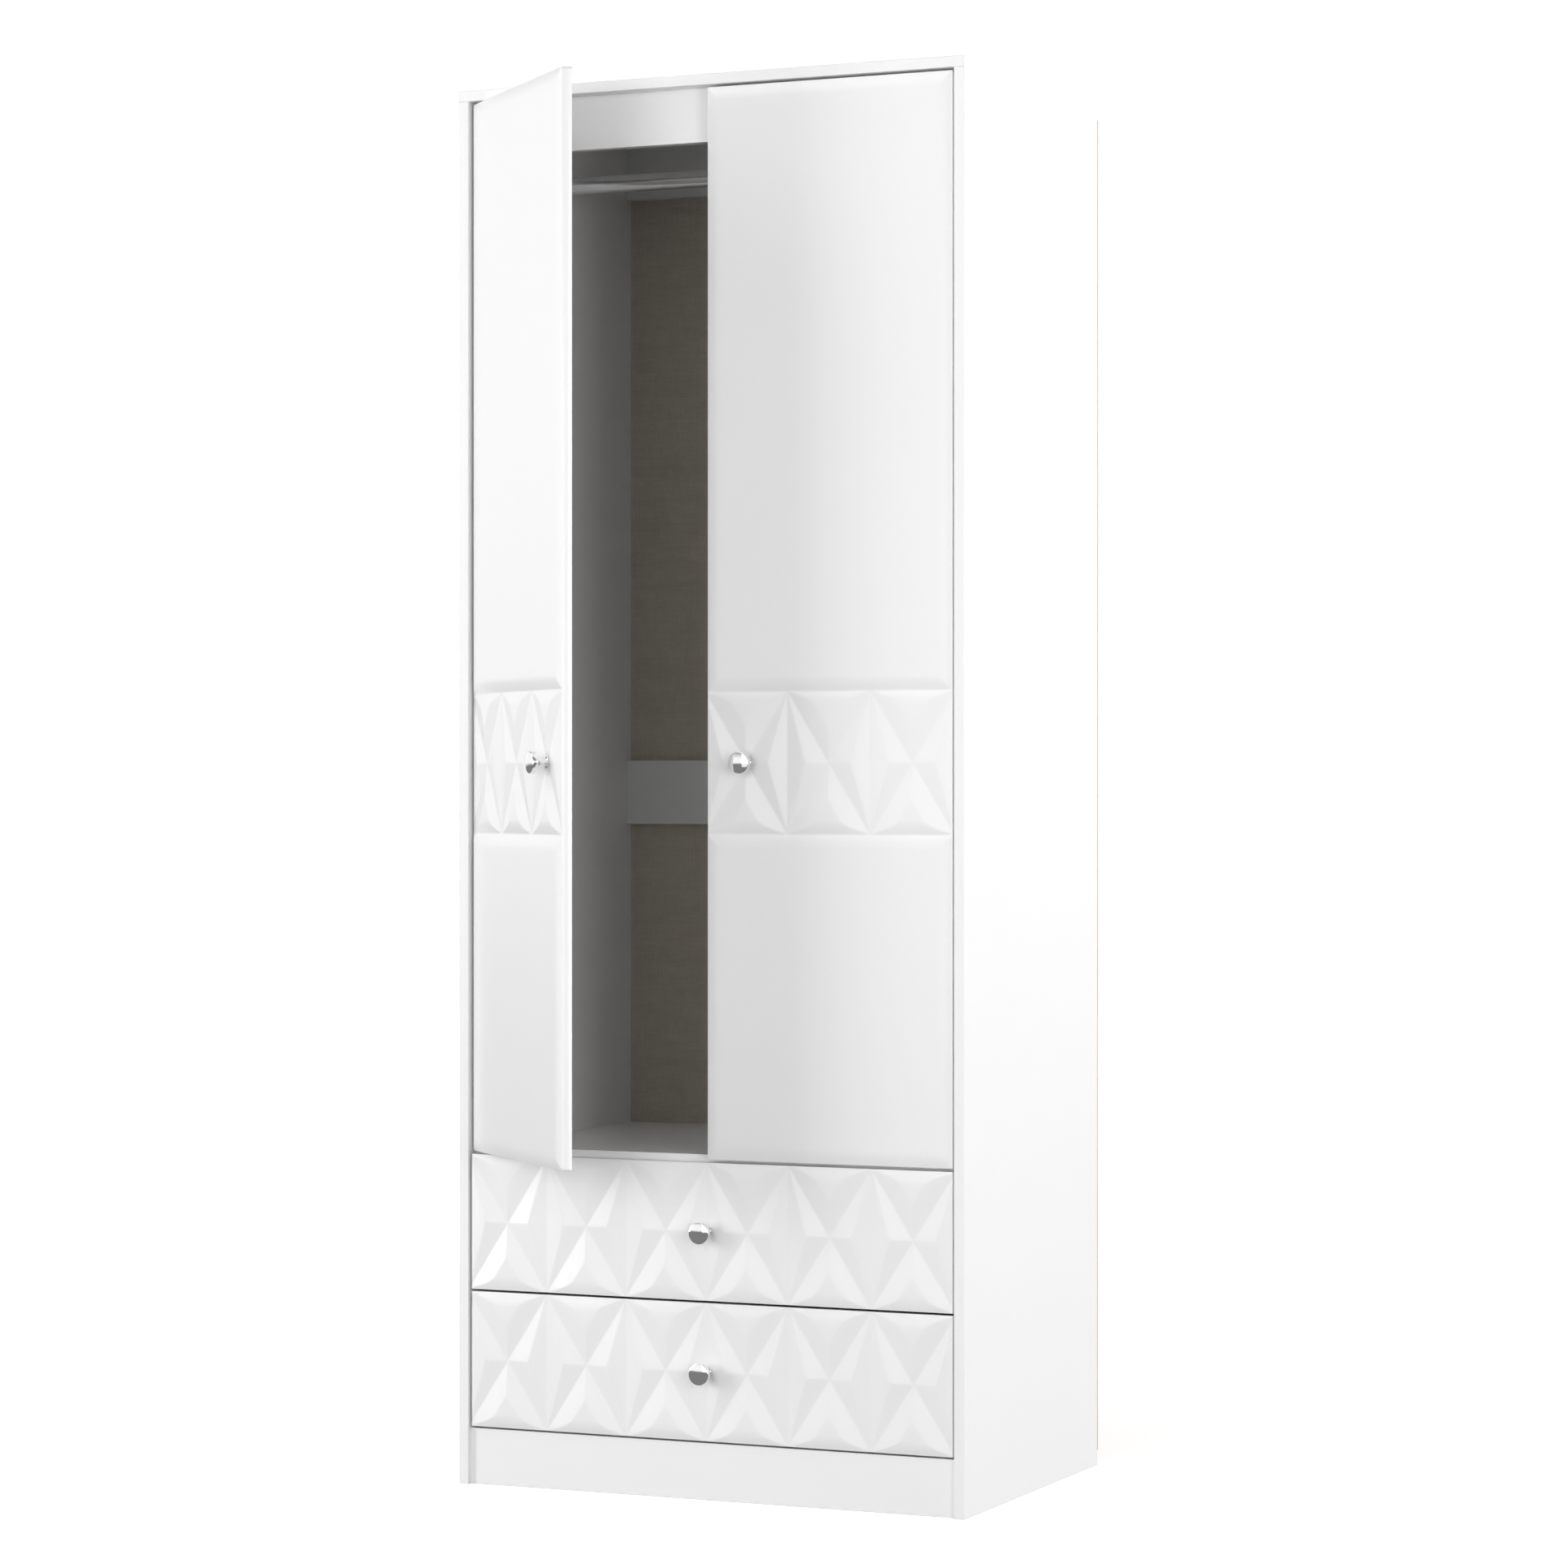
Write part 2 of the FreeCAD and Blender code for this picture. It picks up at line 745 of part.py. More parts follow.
def slide(label, bottom):
    """The drawer's half of the left runner: its flange rides on the front roller."""
    web = "(runner_space - steel)"
    body = padded(
        f"{label}_steel",
        "XZ_Plane",
        [
            (web, "slide_web_bottom"),
            (f"{web} + steel + slide_foot", "slide_web_bottom"),
            (f"{web} + steel + slide_foot", "slide_web_bottom + steel"),
            (f"{web} + steel", "slide_web_bottom + steel"),
            (f"{web} + steel", "slide_top"),
            (f"{web} - slide_flange", "slide_top"),
            (f"{web} - slide_flange", "slide_top - steel"),
            (web, "slide_top - steel"),
        ],
        "slide_length",
    )
    place(body, (INNER_LEFT, "slide_front + slide_length", bottom))
    axle = cylinder(
        f"{label}_axle",
        "axle_radius",
        "axle_length + 0.1",
        (f"{INNER_LEFT} + {web} - axle_length", "rear_roller_depth", f"{bottom} + rear_roller_height"),
        "x",
    )
    return fuse(label, [body, axle])


def roller(label, depth, height):
    """A plastic roller on the left side, with a shallow groove round its tread."""
    tread = "roller_width / 2"
    body = revolved(
        label,
        [
            ("axle_radius + axle_clearance", f"-{tread}"),
            ("roller_radius - 0.5", f"-{tread}"),
            ("roller_radius", f"-{tread} + 0.5"),
            ("roller_radius", "-roller_groove / 2"),
            ("roller_radius - roller_groove / 2", "0"),
            ("roller_radius", "roller_groove / 2"),
            ("roller_radius", f"{tread} - 0.5"),
            ("roller_radius - 0.5", tread),
            ("axle_radius + axle_clearance", tread),
        ],
    )
    body.Placement = Placement(Vector(), Rotation(UP, -90))
    place(body, (f"{INNER_LEFT} + roller_inset + {tread}", depth, height))
    return body


def drawer(number_word, front_bottom):
    label = f"drawer_{number_word}"
    width = number(f"{INNER_WIDTH} - 2 * front_gap")
    height = size("drawer_height")
    front = milled_front(width, [0, height], 0, 6)
    front = seat_and_hole(front, 0, height / 2)
    home = Placement(Vector(0, 0, number(front_bottom)), Rotation())
    solid_node(f"{label}_front", front, home)
    knob_z = number(f"{front_bottom} + drawer_height / 2")
    knob(f"{label}_knob", 0, knob_z, Placement())
    knob_screw(f"{label}_knob_screw", 0, knob_z, Placement())

    bottom = f"{front_bottom} + box_lift"
    outer = f"({INNER_WIDTH} / 2 - runner_space)"
    groove_bottom = f"{bottom} + base_lift"
    for side, left in (("left", f"-{outer}"), ("right", f"{outer} - box_board")):
        name = f"{label}_side_{side}"
        blank = box(
            f"{name}_board",
            ("box_board", "box_length", "box_height"),
            (left, "front_thickness", bottom),
        )
        groove_left = f"{left} + box_board - base_rebate" if side == "left" else left
        groove = box(
            f"{name}_groove",
            ("base_rebate", "box_length", "base_thickness"),
            (groove_left, "front_thickness", groove_bottom),
        )
        node(cut(name, blank, groove), name)
    inside = f"({outer} - box_board)"
    back_y = "front_thickness + box_length - box_board"
    above_base = f"{groove_bottom} + base_thickness"
    back = box(
        f"{label}_back",
        (f"2 * {inside}", "box_board", f"box_height - base_lift - base_thickness"),
        (f"-{inside}", back_y, above_base),
    )
    node(back, f"{label}_back")
    base = box(
        f"{label}_base",
        (f"2 * ({inside} + base_rebate)", "box_length", "base_thickness"),
        (f"-({inside} + base_rebate)", "front_thickness", groove_bottom),
    )
    node(base, f"{label}_base")

    runner_bottom = f"{bottom} - slide_web_bottom - steel"
    left_slide = slide(f"{label}_slide_left", runner_bottom)
    node(left_slide, f"{label}_slide_left")
    node(mirrored(f"{label}_slide_right", left_slide), f"{label}_slide_right")
    left_channel = channel(f"{label}_channel_left", runner_bottom)
    node(left_channel, f"{label}_channel_left")
    node(mirrored(f"{label}_channel_right", left_channel), f"{label}_channel_right")
    for name in ("front", "rear"):
        roller_label = f"{label}_{name}_rollers"
        height_text = f"{runner_bottom} + {name}_roller_height"
        left_roller = roller(f"{roller_label}_left", f"{name}_roller_depth", height_text)
        pair = group(roller_label, [left_roller, mirrored(f"{roller_label}_right", left_roller)])
        node(pair, roller_label)


def swing_about_pivot(sign, angle):
    """Turns a door about its hinge pins by this many degrees of opening."""
    pivot = Vector(number(pivot_x(sign)), size("pivot_depth"), 0)
    return Placement(Vector(), Rotation(UP, sign * angle), pivot)


carcass()
hanging_rail()
hinges()
door("left", -1, swing_about_pivot(-1, size("door_open_angle")))
door("right", 1, swing_about_pivot(1, 0))
drawer("upper", "upper_drawer_bottom")
drawer("lower", "lower_drawer_bottom")
node(group("carcass_screws", wood_screws), "carcass_screws")
doc.recompute()

for item in doc.Objects:
    if "Invalid" in item.State or "Error" in item.State:
        raise RuntimeError(f"{item.Label} did not build: {item.State}")
for item in nodes:
    if item.Shape.isNull() or not item.Shape.isValid():
        raise RuntimeError(f"{item.Label} has no valid shape")

os.makedirs("parts", exist_ok=True)
for item in nodes:
    item.Shape.exportStep(f"parts/{item.Label}.step")
    print(f"{item.Label}: {len(item.Shape.Solids)} solids, {item.Shape.Volume / 1000:.1f} cm3")
print(len(nodes), "nodes")
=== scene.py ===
import json
import math

import bmesh
import bpy
import numpy as np
from mathutils import Matrix, Vector
from mathutils.geometry import tessellate_polygon


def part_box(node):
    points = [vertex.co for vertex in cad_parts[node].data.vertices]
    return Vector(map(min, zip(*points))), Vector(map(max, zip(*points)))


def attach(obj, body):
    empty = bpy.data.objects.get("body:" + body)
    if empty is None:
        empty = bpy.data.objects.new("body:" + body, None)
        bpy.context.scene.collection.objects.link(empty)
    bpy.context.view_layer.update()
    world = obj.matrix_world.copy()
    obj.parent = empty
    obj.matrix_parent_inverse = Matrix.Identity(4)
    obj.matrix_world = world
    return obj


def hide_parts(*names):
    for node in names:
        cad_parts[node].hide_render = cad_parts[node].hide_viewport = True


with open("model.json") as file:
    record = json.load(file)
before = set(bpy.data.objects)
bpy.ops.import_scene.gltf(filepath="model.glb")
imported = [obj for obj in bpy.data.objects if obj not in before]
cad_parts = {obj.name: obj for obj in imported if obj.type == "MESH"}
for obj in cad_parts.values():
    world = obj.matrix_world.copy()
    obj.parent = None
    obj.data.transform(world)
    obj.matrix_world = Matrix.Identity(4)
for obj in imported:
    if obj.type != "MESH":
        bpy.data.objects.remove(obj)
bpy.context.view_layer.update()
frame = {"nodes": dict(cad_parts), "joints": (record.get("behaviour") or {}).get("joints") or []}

# Metres, in the frame's own axes: +Z up, the fronts face -Y, +X to the right as seen from the front.
MM = 0.001

# The milled relief, repeated from the CAD part
RELIEF_DEPTH = 4 * MM
BEVEL_WIDTH = 20 * MM
CELL_PITCH = 123.5 * MM
PEAK_INSET = 28 * MM
RIDGE_SHARE = 0.51
BAND_LOW = 450 * MM
BAND_HIGH = 646 * MM
SEAT_RADIUS = 8.4 * MM
CUP_RADIUS = 17.5 * MM
CUP_FLANGE_RADIUS = 19.5 * MM
CUP_DEPTH = 12.5 * MM

# The turned knob: radius, distance from its seat, and rounding of each corner, in millimetres
KNOB_PROFILE = (
    (0, 0, 0),
    (8.0, 0, 0),
    (8.0, 2.0, 0.7),
    (5.6, 3.0, 1.0),
    (5.4, 12.0, 5.0),
    (9.0, 18.0, 0.6),
    (15.0, 18.5, 0.9),
    (15.0, 26.5, 0.9),
)
KNOB_FACE_RISE = 1.5 * MM
KNOB_FACE_EDGE = 1.2 * MM  # how far in from the rim the domed face starts
KNOB_FACE_STEPS = 13

# Finish details that the CAD part leaves out
FOIL_ROUNDING = 1.1 * MM  # how far the foil bridges a milled crease
EDGE_ROUNDING = 1.2 * MM
SAMPLE = 0.5 * MM  # the spacing at which the relief is worked out
FINE_STEP = 3  # samples between mesh lines where the relief is folded
COARSE_STEP = 60  # samples between mesh lines where the front is flat
REAR_ROUNDING = 0.5 * MM
CUP_SEGMENTS = 64
SEAM_HALF_WIDTH = 0.12 * MM
FRONT_EDGING = 0.8 * MM  # where the side panels' front edging meets the board
TOP_EDGING = -0.2 * MM
CUT_EDGE = 0.3 * MM  # raw chips show below this height
ARRIS = 0.4 * MM
ARRIS_ANGLE = 50  # degrees: only edges folded more sharply than this are softened

# Lights: name, azimuth and elevation in degrees, width and height in metres, radiance,
# distance in metres, whether they light matt surfaces, and whether they show as sheen
LIGHTS = (
    ("softbox_right", 104, 4, 1.8, 2.2, 9.4, 4.5, True, True),
    ("softbox_front_right", 47, 3, 1.3, 2.2, 5.0, 4.5, True, True),
    ("softbox_front", 1, 4, 1.5, 2.2, 4.4, 4.5, True, False),
    ("softbox_front_left", -49, 4, 1.1, 2.2, 8.0, 4.5, True, True),
    ("softbox_upper_left", -60, 38, 2.2, 1.8, 3.0, 4.5, True, True),
    ("sheen_upper_left", -35, 42, 6.0, 3.4, 2.0, 6.5, False, True),
    ("sheen_front", 0, 9, 4.2, 4.6, 0.7, 7.5, False, True),
)
LIGHT_TARGET = Vector((0, 0.2, 1.0))

# Sky: its levels, and the heights on a unit sphere between which one fades into the next
SKY_BELOW = 0.22
SKY_BAND = 1.05
SKY_TOP = 0.30
FADE_BELOW = (-0.04, 0.0)
FADE_ABOVE = (0.16, 0.36)

# Floor: how brightly it glows near the object and far away, the distances from the origin between
# which that grows, and how far it reaches. Lengths are in metres, here and for the backdrop below.
FLOOR_NEAR = 0.55
FLOOR_FAR = 1.0
FLOOR_GLOW_SPAN = (1.5, 6.0)
FLOOR_REACH = 15
BACKDROP_RADIUS = 13.0
BACKDROP_HEIGHT = 9.0
BACKDROP_FOOT = -0.01
BACKDROP_SIDES = 48


# ---------------------------------------------------------------- materials


def new_material(name):
    material = bpy.data.materials.new(name)
    material.use_nodes = True
    tree = material.node_tree
    tree.nodes.clear()
    output = tree.nodes.new("ShaderNodeOutputMaterial")
    shader = tree.nodes.new("ShaderNodeBsdfPrincipled")
    tree.links.new(shader.outputs["BSDF"], output.inputs["Surface"])
    return material, tree, shader


def object_coordinates(tree):
    return tree.nodes.new("ShaderNodeTexCoord").outputs["Object"]


def noise(tree, scale, detail=3.0, stretch=(1, 1, 1)):
    """Noise in the piece's own coordinates: scale is in cells per metre."""
    mapping = tree.nodes.new("ShaderNodeMapping")
    mapping.inputs["Scale"].default_value = stretch
    tree.links.new(object_coordinates(tree), mapping.inputs["Vector"])
    texture = tree.nodes.new("ShaderNodeTexNoise")
    texture.inputs["Scale"].default_value = scale
    texture.inputs["Detail"].default_value = detail
    texture.inputs["Roughness"].default_value = 0.5
    tree.links.new(mapping.outputs["Vector"], texture.inputs["Vector"])
    return texture.outputs["Fac"]


def remap(tree, value, low, high, start=0.3, end=0.7):
    """Maps a noise value from start..end to low..high."""
    node = tree.nodes.new("ShaderNodeMapRange")
    node.inputs["From Min"].default_value = start
    node.inputs["From Max"].default_value = end
    node.inputs["To Min"].default_value = low
    node.inputs["To Max"].default_value = high
    tree.links.new(value, node.inputs["Value"])
    return node.outputs["Result"]


def math_node(tree, operation, first, second):
    node = tree.nodes.new("ShaderNodeMath")
    node.operation = operation
    for socket, value in zip(node.inputs, (first, second)):
        if isinstance(value, (int, float)):
            socket.default_value = value
        else:
            tree.links.new(value, socket)
    return node.outputs["Value"]


def mix_colour(tree, factor, first, second, blend="MIX"):
    node = tree.nodes.new("ShaderNodeMix")
    node.data_type = "RGBA"
    node.blend_type = blend
    sockets = [s for s in node.inputs if s.type == "RGBA"]
    for socket, value in zip(sockets, (first, second)):
        if isinstance(value, tuple):
            socket.default_value = (*value, 1)
        else:
            tree.links.new(value, socket)
    if isinstance(factor, (int, float)):
        node.inputs["Factor"].default_value = factor
    else:
        tree.links.new(factor, node.inputs["Factor"])
    return next(s for s in node.outputs if s.type == "RGBA")


def bump(tree, shader, height, distance):
    """Fine surface texture; distance is its full height in metres."""
    node = tree.nodes.new("ShaderNodeBump")
    node.inputs["Strength"].default_value = 1.0
    node.inputs["Distance"].default_value = distance
    tree.links.new(height, node.inputs["Height"])
    tree.links.new(node.outputs["Normal"], shader.inputs["Normal"])


def grey(tree, value):
    node = tree.nodes.new("ShaderNodeCombineColor")
    for socket in node.inputs:
        tree.links.new(value, socket)
    return node.outputs["Color"]


def axis_position(tree, axis):
    """The piece's own X, Y or Z in metres."""
    split = tree.nodes.new("ShaderNodeSeparateXYZ")
    tree.links.new(object_coordinates(tree), split.inputs["Vector"])
    return split.outputs[axis]


def chipboard_colour(tree):
    """Pressed wood chips: pale and dark flakes a few millimetres across."""
    cells = tree.nodes.new("ShaderNodeTexVoronoi")
    cells.inputs["Scale"].default_value = 420
    tree.links.new(object_coordinates(tree), cells.inputs["Vector"])
    flakes = tree.nodes.new("ShaderNodeSeparateColor")
    tree.links.new(cells.outputs["Color"], flakes.inputs["Color"])
    return mix_colour(tree, flakes.outputs["Red"], (0.46, 0.32, 0.19), (0.72, 0.56, 0.38))


def white_foil(name):
    """Foil wrapped over milled fibreboard: a smooth semi-gloss white with a faint orange peel."""
    material, tree, shader = new_material(name)
    cloud = noise(tree, 3, 2)
    shade = mix_colour(tree, remap(tree, cloud, 0, 1), (0.872, 0.872, 0.872), (0.878, 0.878, 0.877))
    tree.links.new(shade, shader.inputs["Base Color"])
    tree.links.new(remap(tree, noise(tree, 18, 3), 0.285, 0.305), shader.inputs["Roughness"])
    shader.inputs["Coat Weight"].default_value = 0.2
    shader.inputs["Coat Roughness"].default_value = 0.15
    bump(tree, shader, noise(tree, 220, 2), 0.01 * MM)
    return material


def white_board(name, tint=0.895, rough=0.36, edging_axis=None, edging_at=None, raw_below=None):
    """Melamine-faced chipboard with a fine pebble, its edging seam, and raw chips on the underside."""
    material, tree, shader = new_material(name)
    cloud = remap(tree, noise(tree, 7, 3), 0, 1)
    low = (tint - 0.003, tint - 0.003, tint - 0.004)
    colour = mix_colour(tree, cloud, low, (tint + 0.003, tint + 0.003, tint + 0.002))
    roughness = remap(tree, noise(tree, 20, 3), rough - 0.02, rough + 0.02)
    if edging_axis:
        position = axis_position(tree, edging_axis)
        gap = math_node(tree, "ABSOLUTE", math_node(tree, "SUBTRACT", position, edging_at), 0)
        seam = math_node(tree, "LESS_THAN", gap, SEAM_HALF_WIDTH)
        colour = mix_colour(tree, seam, colour, (0.52, 0.50, 0.47))
    if raw_below is not None:
        raw = math_node(tree, "LESS_THAN", axis_position(tree, "Z"), raw_below)
        colour = mix_colour(tree, raw, colour, chipboard_colour(tree))
    tree.links.new(colour, shader.inputs["Base Color"])
    tree.links.new(roughness, shader.inputs["Roughness"])
    bump(tree, shader, noise(tree, 1400, 2), 0.03 * MM)
    return material


def linen_board(name, inside_until):
    """Thin hardboard: a brown linen print inside, bare brown fibre outside and at its edges."""
    material, tree, shader = new_material(name)
    across = remap(tree, noise(tree, 60, 2, (1, 1, 24)), 0, 1, 0.32, 0.68)
    along = remap(tree, noise(tree, 60, 2, (24, 1, 1)), 0, 1, 0.32, 0.68)
    threads = math_node(tree, "MULTIPLY", math_node(tree, "ADD", across, along), 0.5)
    linen = mix_colour(tree, threads, (0.415, 0.370, 0.312), (0.530, 0.481, 0.418))
    slubs = remap(tree, noise(tree, 14, 4, (1, 1, 6)), 0.96, 1.04)
    linen = mix_colour(tree, 1.0, linen, grey(tree, slubs), "MULTIPLY")
    fibre = remap(tree, noise(tree, 350, 5), 0, 1)
    bare = mix_colour(tree, fibre, (0.42, 0.27, 0.15), (0.60, 0.42, 0.26))
    outside = math_node(tree, "GREATER_THAN", axis_position(tree, "Y"), inside_until)
    tree.links.new(mix_colour(tree, outside, linen, bare), shader.inputs["Base Color"])
    shader.inputs["Roughness"].default_value = 0.62
    bump(tree, shader, threads, 0.08 * MM)
    return material


def metal(name, colour, low, high, grain=40, stretch=(1, 1, 1)):
    """Plated steel: its polish varies a little, and fine wiping marks catch the light."""
    material, tree, shader = new_material(name)
    shader.inputs["Metallic"].default_value = 1.0
    stain = remap(tree, noise(tree, 30, 3), 0, 1)
    dull = tuple(channel * 0.94 for channel in colour)
    tree.links.new(mix_colour(tree, stain, dull, colour), shader.inputs["Base Color"])
    tree.links.new(remap(tree, noise(tree, grain, 5, stretch), low, high), shader.inputs["Roughness"])
    bump(tree, shader, noise(tree, grain * 8, 3, stretch), 0.01 * MM)
    return material


def painted_steel(name):
    """White powder coat with a fine grain."""
    material, tree, shader = new_material(name)
    speck = remap(tree, noise(tree, 900, 2), 0, 1)
    tree.links.new(mix_colour(tree, speck, (0.80, 0.80, 0.79), (0.86, 0.86, 0.85)), shader.inputs["Base Color"])
    tree.links.new(remap(tree, noise(tree, 120, 3), 0.32, 0.45), shader.inputs["Roughness"])
    bump(tree, shader, noise(tree, 1100, 2), 0.04 * MM)
    return material


def nylon(name):
    """Moulded off-white nylon."""
    material, tree, shader = new_material(name)
    cloud = remap(tree, noise(tree, 80, 3), 0, 1)
    tree.links.new(mix_colour(tree, cloud, (0.72, 0.72, 0.69), (0.80, 0.80, 0.77)), shader.inputs["Base Color"])
    tree.links.new(remap(tree, noise(tree, 200, 3), 0.42, 0.55), shader.inputs["Roughness"])
    shader.inputs["Subsurface Weight"].default_value = 0.05
    bump(tree, shader, noise(tree, 700, 2), 0.02 * MM)
    return material


def floor_material():
    """A pale studio floor that glows white away from the object, as a lit sweep does."""
    material, tree, shader = new_material("studio_floor")
    cloud = remap(tree, noise(tree, 2, 3), 0, 1)
    tree.links.new(mix_colour(tree, cloud, (0.80, 0.80, 0.80), (0.82, 0.82, 0.82)), shader.inputs["Base Color"])
    shader.inputs["Roughness"].default_value = 0.7
    length = tree.nodes.new("ShaderNodeVectorMath")
    length.operation = "LENGTH"
    tree.links.new(object_coordinates(tree), length.inputs[0])
    glow = remap(tree, length.outputs["Value"], FLOOR_NEAR, FLOOR_FAR, *FLOOR_GLOW_SPAN)
    tree.links.new(grey(tree, glow), shader.inputs["Emission Color"])
    shader.inputs["Emission Strength"].default_value = 1
    return material


def backdrop_material():
    """White all over, a shade above the brightest white, so that it hides the horizon."""
    material, tree, shader = new_material("studio_backdrop")
    cloud = remap(tree, noise(tree, 1, 2), 0.99, 1.0)
    shader.inputs["Base Color"].default_value = (0, 0, 0, 1)
    shader.inputs["Roughness"].default_value = 1
    shader.inputs["Specular IOR Level"].default_value = 0
    tree.links.new(grey(tree, cloud), shader.inputs["Emission Color"])
    shader.inputs["Emission Strength"].default_value = 1.02
    return material


# ---------------------------------------------------------------- mesh helpers


def smooth(piece):
    for polygon in piece.data.polygons:
        polygon.use_smooth = True


def new_piece(name, vertices, faces, material):
    mesh = bpy.data.meshes.new(name)
    mesh.from_pydata(vertices, [], faces)
    mesh.update()
    mesh.materials.append(material)
    piece = bpy.data.objects.new(name, mesh)
    bpy.context.scene.collection.objects.link(piece)
    return piece


def rounded(corners, steps=5):
    """Replaces each (x, y, radius) corner of an open profile by an arc."""
    points = []
    for index, (x, y, radius) in enumerate(corners):
        here = Vector((x, y))
        if radius == 0 or index in (0, len(corners) - 1):
            points.append(here)
            continue
        before = (Vector(corners[index - 1][:2]) - here).normalized()
        after = (Vector(corners[index + 1][:2]) - here).normalized()
        half = before.angle(after) / 2
        reach = radius / math.tan(half)
        centre = here + (before + after).normalized() * (radius / math.sin(half))
        start = here + before * reach - centre
        sweep = start.angle_signed(here + after * reach - centre)
        for step in range(steps + 1):
            turn = Matrix.Rotation(-sweep * step / steps, 2)
            points.append(centre + turn @ start)
    return points


def lathe(name, profile, base, direction, material, segments=96):
    """Turns a profile of (radius, distance from the base) about an axis."""
    turn = Vector((0, 0, 1)).rotation_difference(direction).to_matrix().to_4x4()
    place = Matrix.Translation(base) @ turn
    vertices, faces, rings = [], [], []
    for radius, height in profile:
        if radius < 1e-7:
            rings.append([len(vertices)] * segments)
            vertices.append(place @ Vector((0, 0, height)))
            continue
        rings.append(range(len(vertices), len(vertices) + segments))
        for segment in range(segments):
            angle = math.tau * segment / segments
            spoke = Vector((radius * math.cos(angle), radius * math.sin(angle), height))
            vertices.append(place @ spoke)
    for low, high in zip(rings, rings[1:]):
        for segment in range(segments):
            after = (segment + 1) % segments
            corners = [low[segment], low[after], high[after], high[segment]]
            faces.append(list(dict.fromkeys(corners)))
    piece = new_piece(name, vertices, faces, material)
    smooth(piece)
    return piece


# ---------------------------------------------------------------- the milled fronts


def bevel_depth(position, marks):
    """How deep the bevels along the marks cut at each position."""
    radius = (BEVEL_WIDTH**2 + RELIEF_DEPTH**2) / (2 * RELIEF_DEPTH)
    distance = np.min([np.abs(position - mark) for mark in marks], axis=0)
    run = np.clip(BEVEL_WIDTH - distance, 0, None)
    return radius - np.sqrt(radius**2 - run**2)


def facet_depth(x, z, middle, half_height, cells):
    """Depth of the folded cells at each place; x is measured from the front's centreline."""
    half = CELL_PITCH / 2
    offset = 0 if cells % 2 else half
    u = np.abs((x + offset + half) % CELL_PITCH - half)
    v = np.abs(z - middle)
    peak = half - PEAK_INSET
    ridge = RELIEF_DEPTH + RELIEF_DEPTH / RIDGE_SHARE * (u / half - v / half_height)
    wing = RELIEF_DEPTH * (1 - u / peak + half * v / (peak * half_height))
    flank = RELIEF_DEPTH * (u - peak) / (half - peak)
    return np.minimum(ridge, np.maximum(wing, flank))


def blurred(field):
    """Rounds the creases as foil does: a Gaussian blur along both directions."""
    spread = FOIL_ROUNDING / SAMPLE
    reach = int(3 * spread)
    offsets = np.arange(-reach, reach + 1)
    weights = np.exp(-0.5 * (offsets / spread) ** 2)
    weights /= weights.sum()
    for axis in (0, 1):
        pad = [(0, 0), (0, 0)]
        pad[axis] = (reach, reach)
        wide = np.pad(field, pad, mode="edge")
        count = field.shape[axis]
        field = sum(
            weight * np.take(wide, np.arange(start, start + count), axis=axis)
            for start, weight in enumerate(weights)
        )
    return field


def mesh_lines(count, folded):
    """Sample numbers for the mesh lines: close together where folded says so, and far apart elsewhere."""
    lines = [0]
    while lines[-1] < count - 1:
        here = lines[-1]
        step = FINE_STEP
        while step < COARSE_STEP and not folded[here : here + 2 * step].any():
            step *= 2
        lines.append(min(here + step, count - 1))
    if lines[-1] - lines[-2] < FINE_STEP:
        lines.pop(-2)
    return np.array(lines)


def samples(start, length):
    return np.linspace(start, start + length, round(length / SAMPLE) + 1)


def relief(x, z, band, span, sides, marks, cells, knob_at):
    """Depth of the milled face at each sample: bevels, folded cells in the band, and the knob's seat."""
    across = bevel_depth(x, sides)
    along = bevel_depth(z, marks)
    depth = np.maximum(across[None, :], along[:, None])
    low, high = span
    folds = facet_depth(x[None, :], z[band][:, None], (low + high) / 2, (high - low) / 2, cells)
    depth[band] = np.maximum(depth[band], folds)
    seat = np.hypot(x[None, :] - knob_at[0], z[:, None] - knob_at[1]) < SEAT_RADIUS
    depth[seat] = RELIEF_DEPTH
    return blurred(depth)


